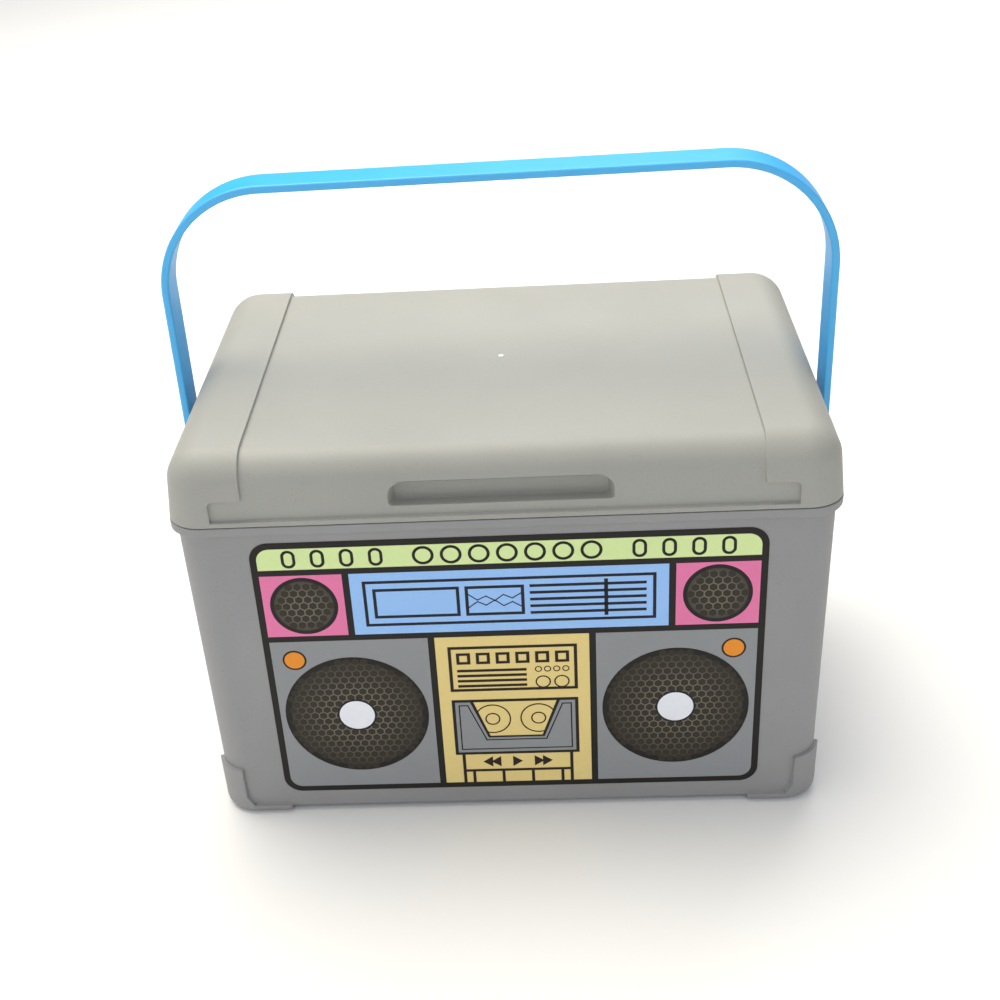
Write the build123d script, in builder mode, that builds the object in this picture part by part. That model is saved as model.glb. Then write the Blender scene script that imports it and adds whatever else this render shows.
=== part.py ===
"""Carry box with a boombox print: tapered tub, lift-off lid and swinging strap handle.

Millimetres, +Z up, +X to the right of the printed front, front towards -Y.
The origin is on the ground, midway between the four corner feet.
"""
import math
import os

from build123d import *

# ---------------------------------------------------------------- driving dimensions
BOX_WIDTH = 240.0        # lid and rim flange, along X
BOX_DEPTH = 160.0        # lid and rim flange, along Y
SEAM_Z = 135.0           # height of the parting line between tub and lid
SEAM_GAP = 0.3           # daylight between rim and lid
LID_HEIGHT = 27.0
WALL = 2.0

# tub
TUB_INSET = 2.0          # the walls step in below the rim flange by this much
TUB_TAPER = 1.5          # and lean in by this much more at the bottom
TUB_BOTTOM_Z = 1.5       # underside of the floor, above the feet
TUB_CORNER_R = 12.0
TUB_EDGE_R = 2.5         # rounding of the bottom edge
FLANGE_HEIGHT = 4.0
FLANGE_EDGE_R = 1.0
FLOOR_THICKNESS = 2.5

# corner guards, which stand proud of the walls and carry the box
GUARD_PROUD = 1.5
GUARD_TOP_Z = 22.0
GUARD_ARM_TOP_Z = 4.0
GUARD_POST_WIDTH = 11.0  # upright part, measured in from the wall's corner
GUARD_ARM_LENGTH = 28.0  # low part, measured in from the wall's corner
GUARD_CROOK_R = 6.0
GUARD_END_R = 0.5        # rounding at the foot of an arm's end

# lid
LID_CORNER_R = 13.0
LID_TOP_R = 12.0
LID_END_DRAFT = 5.5      # degrees
LID_FACE_DRAFT = 1.0     # degrees
PANEL_DEPTH = 1.5        # the middle panel lies this far below the two end caps
PANEL_HALF_WIDTH = 91.0
PANEL_FOOT_HALF_WIDTH = 103.0
PANEL_FOOT_TOP_Z = 145.5
PANEL_FOOT_R = 2.0
PANEL_CORNER_R = 0.3     # the panel outline's other corners
PANEL_LOW_Z = 137.0      # top of the bead along the lid's lower edge
LIP_DEPTH = 5.0
LIP_THICKNESS = 1.8
LIP_CLEARANCE = 0.4

# finger recess in the lid's front face
RECESS_HALF_WIDTH = 39.5
RECESS_LOW_Z = 141.0
RECESS_TOP_Z = 150.0
RECESS_DEPTH = 5.0
RECESS_TOP_R = 6.0
RECESS_LOW_R = 1.2
RECESS_SLOPE = 2.0       # the side walls lean in by this much over the depth

# strap handle
STRAP_WIDTH = 15.0
STRAP_THICKNESS = 3.0
STRAP_EDGE_R = 0.8
STRAP_HALF_SPAN = 124.5  # from the middle of the box to the strap's centre line
CROWN_LEFT_Z = 233.0     # height of the crown's centre line above the left leg
CROWN_RIGHT_Z = 235.0    # and above the right leg, as a soft strap leans a little
SHOULDER_R = 40.0        # bend of the strap between each leg and the crown
PIVOT_Z = 117.0
EYE_R = 9.0
HINGE_FIT = 0.05         # radial play of the strap's eye on the rivet

# pivot rivets and the bosses that they sit in
RIVET_R = 3.0
RIVET_HEAD_R = 6.2
RIVET_HEAD_THICKNESS = 2.2
RIVET_HEAD_EDGE_R = 1.2
RIVET_BARB_R = 3.8
RIVET_BARB_LENGTH = 3.4
RIVET_POINT_R = 2.2      # the barb tapers to this at its end
BOSS_R = 9.5
SIDE_PLAY = 0.3          # gap on each side of the strap's eye

# printed label
LABEL_WIDTH = 185.0
LABEL_ASPECT = 0.63      # height over width
LABEL_THICKNESS = 0.2
LABEL_CENTRE_X = 1.0
LABEL_LOW_Z = 10.5
LABEL_CORNER_R = 7.0

# ---------------------------------------------------------------- derived places
RIM_Z = SEAM_Z - SEAM_GAP / 2
LID_Z = SEAM_Z + SEAM_GAP / 2
LID_TOP_Z = SEAM_Z + LID_HEIGHT
FLANGE_Z = RIM_Z - FLANGE_HEIGHT
TUB_HALF_W = BOX_WIDTH / 2 - TUB_INSET
TUB_HALF_D = BOX_DEPTH / 2 - TUB_INSET
THROUGH = 2 * BOX_WIDTH  # longer than anything that it cuts
BEYOND = 1.0             # how far a cutting outline runs past the shape


def wall_inset(z):
    """How far the tub's wall has leaned in at height z."""
    return TUB_TAPER * (FLANGE_Z - z) / (FLANGE_Z - TUB_BOTTOM_Z)


def tub_block(outset, corner_r, low_z, high_z):
    """Solid inside the tub's leaning walls, grown by outset, between two heights."""
    with BuildPart(mode=Mode.PRIVATE) as block:
        for z in (low_z, high_z):
            half_w = TUB_HALF_W + outset - wall_inset(z)
            half_d = TUB_HALF_D + outset - wall_inset(z)
            with BuildSketch(Plane.XY.offset(z)):
                RectangleRounded(2 * half_w, 2 * half_d, corner_r)
        loft()
    return block.part


def lid_block(inset):
    """Solid of the lid's outer shape, shrunk by inset on its sides and top."""
    with BuildPart(mode=Mode.PRIVATE) as block:
        for z in (LID_Z, LID_TOP_Z - inset):
            half_w = BOX_WIDTH / 2 - inset - (z - LID_Z) * math.tan(math.radians(LID_END_DRAFT))
            half_d = BOX_DEPTH / 2 - inset - (z - LID_Z) * math.tan(math.radians(LID_FACE_DRAFT))
            with BuildSketch(Plane.XY.offset(z)):
                RectangleRounded(2 * half_w, 2 * half_d, LID_CORNER_R - inset)
        loft()
        fillet(block.faces().sort_by(Axis.Z)[-1].edges(), LID_TOP_R - inset)
    return block.part


def guard_outline(half_length):
    """Outline of the two L shapes that a pair of guards makes on a wall, seen square on."""
    post = half_length - GUARD_POST_WIDTH
    arm = half_length - GUARD_ARM_LENGTH
    far = half_length + GUARD_ARM_LENGTH
    with BuildSketch(mode=Mode.PRIVATE) as outline:
        with BuildLine():
            crook = FilletPolyline(
                (arm, -BEYOND),
                (arm, GUARD_ARM_TOP_Z),
                (post, GUARD_ARM_TOP_Z),
                (post, GUARD_TOP_Z + BEYOND),
                radius=[GUARD_END_R, GUARD_CROOK_R],
            )
            Polyline(crook @ 1, (far, GUARD_TOP_Z + BEYOND), (far, -BEYOND), crook @ 0)
        make_face()
        mirror(about=Plane.YZ)
    return outline.sketch


# ---------------------------------------------------------------- tub
BOSS_FACE_X = STRAP_HALF_SPAN - STRAP_THICKNESS / 2 - SIDE_PLAY
WALL_INNER_X = TUB_HALF_W - WALL - wall_inset(PIVOT_Z)
CAVITY_FLOOR_Z = TUB_BOTTOM_Z + FLOOR_THICKNESS

with BuildPart() as guards:
    add(tub_block(GUARD_PROUD, TUB_CORNER_R + GUARD_PROUD, 0, GUARD_TOP_Z))
    fillet(guards.faces().sort_by(Axis.Z)[0].edges(), TUB_EDGE_R)
    with BuildSketch(Plane.XZ):
        add(guard_outline(TUB_HALF_W))
    extrude(amount=THROUGH, both=True, mode=Mode.INTERSECT)
    with BuildSketch(Plane.YZ):
        add(guard_outline(TUB_HALF_D))
    extrude(amount=THROUGH, both=True, mode=Mode.INTERSECT)

with BuildPart() as tub:
    add(tub_block(0, TUB_CORNER_R, TUB_BOTTOM_Z, FLANGE_Z))
    fillet(tub.faces().sort_by(Axis.Z)[0].edges(), TUB_EDGE_R)
    add(guards.part)

    # rim flange, as wide as the lid, with a softened lower edge
    with BuildSketch(Plane.XY.offset(FLANGE_Z + FLANGE_EDGE_R)):
        RectangleRounded(BOX_WIDTH, BOX_DEPTH, LID_CORNER_R)
    extrude(amount=FLANGE_HEIGHT - FLANGE_EDGE_R)
    with BuildSketch(Plane.XY.offset(FLANGE_Z + FLANGE_EDGE_R)):
        RectangleRounded(BOX_WIDTH, BOX_DEPTH, LID_CORNER_R)
    extrude(amount=-FLANGE_EDGE_R, taper=45)

    # pivot bosses on the two end walls
    for plane in (Plane.YZ, Plane.ZY):
        with BuildSketch(plane.offset(WALL_INNER_X + WALL / 2)):
            with Locations(plane.to_local_coords(Vector(0, 0, PIVOT_Z))):
                Circle(BOSS_R)
        extrude(amount=BOSS_FACE_X - WALL_INNER_X - WALL / 2)

    add(tub_block(-WALL, TUB_CORNER_R - WALL, CAVITY_FLOOR_Z, RIM_Z), mode=Mode.SUBTRACT)
    with BuildSketch(Plane.YZ):
        with Locations((0, PIVOT_Z)):
            Circle(RIVET_R)
    extrude(amount=THROUGH, both=True, mode=Mode.SUBTRACT)

tub.part.label = "tub"

# ---------------------------------------------------------------- lid
PANEL_Y = -(BOX_DEPTH / 2 - PANEL_DEPTH)
WEB_OVERLAP = 0.5
LIP_HALF_W = TUB_HALF_W - WALL - LIP_CLEARANCE
LIP_HALF_D = TUB_HALF_D - WALL - LIP_CLEARANCE
LIP_CORNER_R = TUB_CORNER_R - WALL - LIP_CLEARANCE


def lip_ring(outset):
    """Sketch the locating lip's ring, its outer edge grown by outset."""
    RectangleRounded(2 * (LIP_HALF_W + outset), 2 * (LIP_HALF_D + outset), LIP_CORNER_R + outset)
    RectangleRounded(
        2 * (LIP_HALF_W - LIP_THICKNESS),
        2 * (LIP_HALF_D - LIP_THICKNESS),
        LIP_CORNER_R - LIP_THICKNESS,
        mode=Mode.SUBTRACT,
    )


def recess_outline(shrink):
    """Sketch the finger recess, seen from the front, each side moved in by shrink."""
    width = 2 * (RECESS_HALF_WIDTH - shrink)
    height = RECESS_TOP_Z - RECESS_LOW_Z
    with Locations((0, RECESS_LOW_Z + height / 2)):
        outline = Rectangle(width, height)
    fillet(outline.vertices().group_by(Axis.Y)[-1], RECESS_TOP_R)
    fillet(outline.vertices().group_by(Axis.Y)[0], RECESS_LOW_R)


with BuildPart() as lid:
    add(lid_block(0))

    # the window of the sunken middle panel, cut right through, front to back
    with BuildSketch(Plane.XZ):
        with BuildLine() as window:
            FilletPolyline(
                (PANEL_HALF_WIDTH, LID_TOP_Z + BEYOND),
                (PANEL_HALF_WIDTH, PANEL_FOOT_TOP_Z),
                (PANEL_FOOT_HALF_WIDTH, PANEL_FOOT_TOP_Z),
                (PANEL_FOOT_HALF_WIDTH, PANEL_LOW_Z),
                (0, PANEL_LOW_Z),
                radius=[PANEL_CORNER_R, PANEL_FOOT_R, PANEL_CORNER_R],
            )
            Line((0, PANEL_LOW_Z), (0, LID_TOP_Z + BEYOND))
            Line((0, LID_TOP_Z + BEYOND), (PANEL_HALF_WIDTH, LID_TOP_Z + BEYOND))
        make_face()
        mirror(about=Plane.YZ)
    extrude(amount=THROUGH, both=True, mode=Mode.SUBTRACT)
    add(lid_block(PANEL_DEPTH))
    add(lid_block(PANEL_DEPTH + WALL), mode=Mode.SUBTRACT)

    # web and locating lip
    with BuildSketch(Plane.XY.offset(LID_Z)):
        lip_ring(TUB_INSET + WALL + LIP_CLEARANCE - PANEL_DEPTH - WALL + WEB_OVERLAP)
    extrude(amount=WALL)
    with BuildSketch(Plane.XY.offset(LID_Z)):
        lip_ring(0)
    extrude(amount=-LIP_DEPTH)

    # pad behind the finger recess, then the recess itself
    with BuildSketch(Plane.XZ.offset(-PANEL_Y - RECESS_DEPTH - WALL)):
        with Locations((0, (RECESS_LOW_Z + RECESS_TOP_Z) / 2)):
            Rectangle(2 * (RECESS_HALF_WIDTH + WALL), RECESS_TOP_Z - RECESS_LOW_Z + 2 * WALL)
    extrude(amount=RECESS_DEPTH)
    with BuildSketch(Plane.XZ.offset(-PANEL_Y - RECESS_DEPTH)):
        recess_outline(RECESS_SLOPE)
    with BuildSketch(Plane.XZ.offset(-PANEL_Y + RECESS_DEPTH)):
        recess_outline(-RECESS_SLOPE)
    loft(mode=Mode.SUBTRACT)

lid.part.label = "lid"

# ---------------------------------------------------------------- strap handle
with BuildPart() as strap_handle:
    with BuildLine(Plane.XZ) as centre_line:
        FilletPolyline(
            (-STRAP_HALF_SPAN, PIVOT_Z),
            (-STRAP_HALF_SPAN, CROWN_LEFT_Z),
            (STRAP_HALF_SPAN, CROWN_RIGHT_Z),
            (STRAP_HALF_SPAN, PIVOT_Z),
            radius=SHOULDER_R,
        )
    with BuildSketch(Plane.XY.offset(PIVOT_Z)):
        with Locations((-STRAP_HALF_SPAN, 0)):
            RectangleRounded(STRAP_THICKNESS, STRAP_WIDTH, STRAP_EDGE_R)
    sweep(path=centre_line.wires()[0])
    for side in (-1, 1):
        with BuildSketch(Plane.YZ.offset(side * STRAP_HALF_SPAN)):
            with Locations((0, PIVOT_Z)):
                Circle(EYE_R)
        extrude(amount=STRAP_THICKNESS / 2, both=True)
    with BuildSketch(Plane.YZ):
        with Locations((0, PIVOT_Z)):
            Circle(RIVET_R + HINGE_FIT)
    extrude(amount=THROUGH, both=True, mode=Mode.SUBTRACT)

strap_handle.part.label = "strap_handle"

# ---------------------------------------------------------------- pivot rivets
HEAD_X = STRAP_HALF_SPAN + STRAP_THICKNESS / 2 + SIDE_PLAY
BARB_X = WALL_INNER_X - SIDE_PLAY

with BuildPart() as right_pivot_rivet:
    with BuildSketch(Plane.XZ):
        with BuildLine():
            Polyline(
                (BARB_X - RIVET_BARB_LENGTH, PIVOT_Z),
                (BARB_X - RIVET_BARB_LENGTH, PIVOT_Z + RIVET_POINT_R),
                (BARB_X, PIVOT_Z + RIVET_BARB_R),
                (BARB_X, PIVOT_Z + RIVET_R),
                (HEAD_X, PIVOT_Z + RIVET_R),
                (HEAD_X, PIVOT_Z + RIVET_HEAD_R),
                (HEAD_X + RIVET_HEAD_THICKNESS, PIVOT_Z + RIVET_HEAD_R),
                (HEAD_X + RIVET_HEAD_THICKNESS, PIVOT_Z),
                close=True,
            )
        make_face()
    revolve(axis=Axis((0, 0, PIVOT_Z), (1, 0, 0)))
    fillet(right_pivot_rivet.edges().sort_by(Axis.X)[-1], RIVET_HEAD_EDGE_R)

with BuildPart() as left_pivot_rivet:
    mirror(right_pivot_rivet.part, about=Plane.YZ)

right_pivot_rivet.part.label = "right_pivot_rivet"
left_pivot_rivet.part.label = "left_pivot_rivet"

# ---------------------------------------------------------------- printed label
LABEL_HEIGHT = LABEL_ASPECT * LABEL_WIDTH
WALL_LEAN = math.atan2(TUB_TAPER, FLANGE_Z - TUB_BOTTOM_Z)
LABEL_MID_Z = LABEL_LOW_Z + LABEL_HEIGHT / 2 * math.cos(WALL_LEAN)
label_plane = Plane(
    origin=(LABEL_CENTRE_X, -(TUB_HALF_D - wall_inset(LABEL_MID_Z)), LABEL_MID_Z),
    x_dir=(1, 0, 0),
    z_dir=(0, -math.cos(WALL_LEAN), -math.sin(WALL_LEAN)),
)

with BuildPart() as front_label:
    with BuildSketch(label_plane):
        RectangleRounded(LABEL_WIDTH, LABEL_HEIGHT, LABEL_CORNER_R)
    extrude(amount=LABEL_THICKNESS)

front_label.part.label = "front_label"

# ---------------------------------------------------------------- write one file per piece
os.makedirs("parts", exist_ok=True)
for piece in (tub, lid, strap_handle, left_pivot_rivet, right_pivot_rivet, front_label):
    export_step(piece.part, f"parts/{piece.part.label}.step")
    print(piece.part.label, round(piece.part.volume), piece.part.bounding_box().size)
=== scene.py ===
# %% [markdown]
# # A carry box with a boombox print
# This lesson dresses a moulded plastic carry box: a grey tub, a grey lid, a bright blue strap and a
# printed label. The measured solid model is already there as a frame of simple pieces. We load it,
# model each piece again with clean faces, and give every piece its own finish.

import math

import bmesh
import bpy
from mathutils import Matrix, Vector


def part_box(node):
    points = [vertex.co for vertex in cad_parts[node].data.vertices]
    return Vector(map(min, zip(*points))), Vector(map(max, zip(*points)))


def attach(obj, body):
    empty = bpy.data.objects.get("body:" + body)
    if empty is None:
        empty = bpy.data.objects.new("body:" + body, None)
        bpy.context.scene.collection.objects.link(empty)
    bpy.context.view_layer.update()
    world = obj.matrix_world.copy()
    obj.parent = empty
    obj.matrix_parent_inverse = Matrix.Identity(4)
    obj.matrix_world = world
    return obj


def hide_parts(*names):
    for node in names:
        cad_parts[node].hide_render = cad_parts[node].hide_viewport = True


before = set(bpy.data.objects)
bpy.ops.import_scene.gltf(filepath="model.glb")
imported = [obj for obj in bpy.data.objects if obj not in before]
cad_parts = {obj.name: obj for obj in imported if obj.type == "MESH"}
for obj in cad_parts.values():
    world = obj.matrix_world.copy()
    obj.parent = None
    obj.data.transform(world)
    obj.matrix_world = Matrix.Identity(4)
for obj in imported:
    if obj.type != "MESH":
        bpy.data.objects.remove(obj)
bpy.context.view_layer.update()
MM = 0.001
NEAR = 0.1 * MM
TOUCHING = 0.01 * MM

# %% [markdown]
# ## The sizes that everything hangs on
# Places come from the frame's own boxes, so that every new piece lies where the measured one does.
# The wall slopes and roundings are the maker's own numbers, in millimetres turned into metres.

# %% Read the main sizes
lid_low, lid_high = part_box("lid")
tub_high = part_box("tub")[1]
label_low, label_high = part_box("front_label")
rivet_low, rivet_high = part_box("right_pivot_rivet")
strap_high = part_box("strap_handle")[1]

HALF_W = lid_high[0]
HALF_D = lid_high[1]
LID_TOP = lid_high[2]
RIM = tub_high[2]
SEAM_GAP = 0.3 * MM
LID_BOTTOM = RIM + SEAM_GAP
PIVOT = (rivet_low[2] + rivet_high[2]) / 2
BOSS_FACE = tub_high[0]
print("half width", HALF_W, "half depth", HALF_D, "rim", RIM, "lid top", LID_TOP, "pivot", PIVOT)

# %% [markdown]
# ## Camera
# The box is seen from a little above the front, slightly turned. A long-ish lens keeps the sides
# nearly parallel. The small shift only frames the box.

# %% Place the camera
camera_data = bpy.data.cameras.new("camera")
camera = bpy.data.objects.new("camera", camera_data)
bpy.context.scene.collection.objects.link(camera)
camera_data.sensor_width = 36.0
camera_data.lens = 53.0
camera_data.shift_x = 0.034
camera_data.shift_y = 0.006
camera.location = (0.017, -0.52, 0.40)
camera.rotation_euler = [math.radians(angle) for angle in (59.5, 3.4, 1.8)]
camera_data.clip_start = 0.01
camera_data.clip_end = 50.0
bpy.context.scene.camera = camera
bpy.context.scene.view_settings.view_transform = "Standard"
print("camera at", tuple(camera.location))

# %% [markdown]
# ## Floor and light
# A plain pale floor and broad soft lights show the moulded shapes without hard shadows. The light
# from above is a little warm, and the light from the front a little cool.

# %% Lay the floor and hang the lights
FLOOR_SIZE = 8.0
bpy.ops.object.select_all(action="DESELECT")
bpy.ops.mesh.primitive_plane_add(size=FLOOR_SIZE, location=(0, 0, 0))
floor = bpy.context.object
floor.name = "floor"


def soft_light(name, place, aim, size, power, colour):
    """Hangs a square soft light at a place, turned towards an aim point."""
    data = bpy.data.lights.new(name, "AREA")
    data.size = size
    data.energy = power
    data.color = colour
    lamp = bpy.data.objects.new(name, data)
    bpy.context.scene.collection.objects.link(lamp)
    lamp.location = place
    lamp.rotation_euler = (Vector(aim) - Vector(place)).to_track_quat("-Z", "Y").to_euler()
    return lamp


BOX_MIDDLE = (0, 0, 0.1)
soft_light("key light", (-0.4, 0.3, 1.5), BOX_MIDDLE, 1.2, 24.0, (1.0, 0.95, 0.83))
soft_light("front light", (-0.3, -1.3, 1.1), BOX_MIDDLE, 1.4, 5.5, (0.93, 0.97, 1.0))
soft_light("back light", (0.3, 1.4, 1.4), (0, 0.8, 0), 1.4, 14.0, (1.0, 0.98, 0.95))
world = bpy.data.worlds.new("studio")
world.use_nodes = True
world.node_tree.nodes["Background"].inputs["Color"].default_value = (0.97, 0.98, 1.0, 1.0)
world.node_tree.nodes["Background"].inputs["Strength"].default_value = 0.4
bpy.context.scene.world = world
print("floor and three lights")

# %% [markdown]
# ## Writing shader maths as sums
# A material is a small network of nodes. Wiring many Math nodes by hand is hard to read, so a Wire
# wraps one socket and lets us write an ordinary sum. Each operator adds its Math node.

# %% A wire that can be used in sums
class Wire:
    """One shader socket. Adding to it or multiplying it adds the Math node for that."""

    def __init__(self, finish, socket):
        self.finish = finish
        self.socket = socket

    def maths(self, operation, first, second=0.0):
        return self.finish.node("ShaderNodeMath", {"operation": operation}, {0: first, 1: second})

    def __add__(self, other):
        return self.maths("ADD", self, other)

    def __radd__(self, other):
        return self.maths("ADD", other, self)

    def __sub__(self, other):
        return self.maths("SUBTRACT", self, other)

    def __mul__(self, other):
        return self.maths("MULTIPLY", self, other)

    def __rmul__(self, other):
        return self.maths("MULTIPLY", other, self)

    def __truediv__(self, other):
        return self.maths("DIVIDE", self, other)

    def __pow__(self, other):
        return self.maths("POWER", self, other)

    def __abs__(self):
        return self.maths("ABSOLUTE", self)

    def clipped(self):
        """The same value, kept between 0 and 1."""
        return self.finish.node("ShaderNodeClamp", {}, {"Value": self})


class Finish:
    """One material with its main shader, and the one method that adds any other node."""

    def __init__(self, name):
        self.material = bpy.data.materials.new(name)
        self.material.use_nodes = True
        self.tree = self.material.node_tree
        self.shader = self.tree.nodes["Principled BSDF"]

    def node(self, kind, settings, values, output=0):
        node = self.tree.nodes.new(kind)
        for key, value in settings.items():
            setattr(node, key, value)
        for key, value in values.items():
            if isinstance(value, Wire):
                self.tree.links.new(value.socket, node.inputs[key])
            else:
                node.inputs[key].default_value = value
        return Wire(self, node.outputs[output])

    def place(self):
        """The point of the piece being shaded, in metres."""
        return self.node("ShaderNodeTexCoord", {}, {}, output="Object")

    def noise(self, scale, detail=2.0, stretch=(1, 1, 1)):
        """Cloudy noise from 0 to 1. Scale is how many clouds there are in a metre."""
        point = self.node("ShaderNodeMapping", {}, {"Vector": self.place(), "Scale": stretch})
        return self.node("ShaderNodeTexNoise", {}, {"Vector": point, "Scale": scale, "Detail": detail})

    def mix(self, amount, first, second):
        """A colour that goes from first to second as amount goes from 0 to 1."""
        values = {0: amount, 6: first, 7: second}
        return self.node("ShaderNodeMix", {"data_type": "RGBA"}, values, output=2)

    def feed(self, **inputs):
        """Sets or links the main shader's sockets. An underscore in a name stands for a space."""
        for key, value in inputs.items():
            socket = self.shader.inputs[key.replace("_", " ")]
            if isinstance(value, Wire):
                self.tree.links.new(value.socket, socket)
            else:
                socket.default_value = value
        return self

    def bump(self, height, depth, strength=1.0):
        """Links a height from 0 to 1 as a bump that deep, in metres."""
        values = {"Height": height, "Distance": depth, "Strength": strength}
        return self.feed(Normal=self.node("ShaderNodeBump", {}, values))


def colour(red, green, blue, light=1.0):
    """A colour given as it looks on a screen, from 0 to 255, made lighter or darker by a factor."""
    parts = [part / 255 for part in (red, green, blue)]
    linear = [part / 12.92 if part < 0.04045 else ((part + 0.055) / 1.055) ** 2.4 for part in parts]
    return (*[part * light for part in linear], 1.0)


print("shader helpers ready")

# %% [markdown]
# ## Moulded grey plastic
# The tub and lid are moulded from the same grey plastic, but each gets its own copy of it: the tub's is
# darker, as painted shade on its walls, and the lid's is lighter and a little warmer, as painted warm light
# from above. It isn't shiny: the mould has a fine spark grain, which scatters light and shows as tiny
# specks. Here and there the colour is cloudy, where the plastic flowed. So there are three noises: clouds in
# the colour, specks, and a fine bump.

# %% Make the grey plastic
CLOUDS = 22.0
SPECKS = 1500.0
GRAIN = 2600.0


def moulded_plastic(name, red, green, blue):
    """Grained, slightly cloudy moulded plastic in one colour."""
    finish = Finish(name)
    clouds = finish.noise(CLOUDS, 4.0)
    specks = finish.noise(SPECKS, 1.0)
    cloudy = finish.mix(clouds, colour(red, green, blue, 0.9), colour(red, green, blue, 1.1))
    speckled = finish.mix(((specks - 0.62) * 6).clipped() * 0.35, cloudy, colour(red, green, blue, 0.62))
    finish.feed(Base_Color=speckled, Roughness=0.46 + 0.16 * clouds, Specular_IOR_Level=0.42)
    finish.bump(finish.noise(GRAIN, 2.0), 0.00006, 0.5)
    return finish


# painted shade: the tub's copy of the grey is darker; painted warm light: the lid's copy is lighter and
# warmer
tub_grey_painted_shade = moulded_plastic("moulded_grey", 150, 150, 152)
lid_grey_painted_warm_light = moulded_plastic("lid_grey", 165, 165, 160)
print("grey plastics", tub_grey_painted_shade.material.name, lid_grey_painted_warm_light.material.name)

# %% [markdown]
# ## Blue strap plastic
# The strap is softer plastic in a bright blue. Bending has left pale streaks along it, and its thin edges
# are painted lighter than its broad faces, a painted highlight where they catch the light.

# %% Make the blue plastic
STRAP_HALF_WIDTH = strap_high[1] - 1.5 * MM
STRAP_EDGE_HIGHLIGHT = 1.4 * MM


def strap_plastic():
    """Bright blue flexible plastic with pale streaks and a painted highlight along its thin edges."""
    finish = Finish("strap_blue")
    streaks = finish.noise(60.0, 3.0, (1.0, 12.0, 1.0))
    across = abs(finish.node("ShaderNodeSeparateXYZ", {}, {"Vector": finish.place()}, output="Y"))
    # painted highlight: a band along each thin edge of the strap is mixed towards a paler blue
    edge = ((across - (STRAP_HALF_WIDTH - STRAP_EDGE_HIGHLIGHT)) / STRAP_EDGE_HIGHLIGHT).clipped()
    body = finish.mix(streaks, colour(10, 160, 245), colour(35, 190, 255))
    finish.feed(Base_Color=finish.mix(edge * 0.45, body, colour(120, 205, 255)))
    finish.feed(Roughness=0.34 + 0.12 * streaks, Subsurface_Weight=0.0, Specular_IOR_Level=0.5)
    return finish.bump(finish.noise(900.0, 2.0), 0.00004, 0.3)


strap_blue = strap_plastic()
print("strap finish", strap_blue.material.name)

# %% [markdown]
# ## Printing inks
# The label is a thin film, printed and then laminated, so every ink has the same soft gloss. An ink
# isn't perfectly even: a very faint cloud and a faint screen grain keep it from looking painted.

# %% Make the inks
def printing_ink(name, red, green, blue):
    """A flat printed colour with a faint screen grain under a soft gloss."""
    finish = Finish(name)
    grain = 0.5 * finish.noise(900.0, 2.0) + 0.5 * finish.noise(40.0, 2.0)
    finish.feed(Base_Color=finish.mix(grain, colour(red, green, blue, 0.93), colour(red, green, blue, 1.07)))
    finish.feed(Roughness=0.4 + 0.08 * grain, Specular_IOR_Level=0.3)
    return finish


ink_black = printing_ink("ink_black", 20, 17, 14)
ink_brown = printing_ink("ink_brown", 30, 16, 12)
ink_navy = printing_ink("ink_navy", 14, 16, 36)
ink_green = printing_ink("ink_green", 220, 240, 170)
ink_pink = printing_ink("ink_pink", 235, 125, 175)
ink_blue = printing_ink("ink_blue", 155, 200, 255)
ink_grey = printing_ink("ink_grey", 145, 148, 152)
ink_yellow = printing_ink("ink_yellow", 235, 212, 140)
ink_orange = printing_ink("ink_orange", 240, 148, 40)
ink_white = printing_ink("ink_white", 240, 243, 252)
ink_cell = printing_ink("ink_cell", 46, 40, 30)
print("inks ready")

# %% [markdown]
# ## Tools for modelling
# Each piece is opened in edit mode and shaped as it would be by hand. An operator works on whatever is
# selected, so we need one helper that picks faces or edges by their place and direction, one that
# grows a flat face to a new height and size, and one that cuts along a plane. An operator with nothing
# selected does nothing and says nothing, so a pick that finds nothing stops the script instead.

# %% Start, pick, grow and cut
def start_rounded_plate(name, half_w, half_d, height, radius, steps):
    """Starts a piece as a flat rounded rectangle and leaves it open, with its face selected."""
    bpy.ops.object.select_all(action="DESELECT")
    bpy.ops.mesh.primitive_plane_add(size=2, enter_editmode=True)
    piece = bpy.context.object
    piece.name = name
    bpy.ops.transform.resize(value=(half_w, half_d, 1), center_override=(0, 0, 0))
    bpy.ops.transform.translate(value=(0, 0, height))
    bpy.ops.mesh.select_mode(type="VERT")
    bpy.ops.mesh.bevel(offset=radius, segments=steps, affect="VERTICES")
    bpy.ops.mesh.select_mode(type="FACE")
    bpy.ops.mesh.select_all(action="SELECT")
    return piece


def pick(kind, rule):
    """Selects the faces or edges of the open piece that a rule accepts by their middle and direction."""
    bpy.ops.mesh.select_all(action="DESELECT")
    bpy.ops.mesh.select_mode(type=kind)
    mesh = bmesh.from_edit_mesh(bpy.context.object.data)
    count = 0
    if kind == "FACE":
        for face in mesh.faces:
            if rule(face.calc_center_median(), face.normal):
                face.select_set(True)
                count += 1
    else:
        for edge in mesh.edges:
            one, two = (vert.co for vert in edge.verts)
            if rule((one + two) / 2, (two - one).normalized()):
                edge.select_set(True)
                count += 1
    if count == 0:
        raise ValueError("nothing was picked on " + bpy.context.object.name)
    mesh.select_flush_mode()
    bmesh.update_edit_mesh(bpy.context.object.data)
    return count


def grow(half_w, half_d, height):
    """Pulls the selected flat face to a height, where it reaches half_w and half_d from the middle."""
    mesh = bmesh.from_edit_mesh(bpy.context.object.data)
    ring = [vert.co for vert in mesh.verts if vert.select]
    now_w = max(point.x for point in ring)
    now_d = max(point.y for point in ring)
    bpy.ops.mesh.extrude_region_move(TRANSFORM_OT_translate={"value": (0, 0, height - ring[0].z)})
    factors = (half_w / now_w, half_d / now_d, 1)
    bpy.ops.transform.resize(value=factors, center_override=(0, 0, height))


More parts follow.
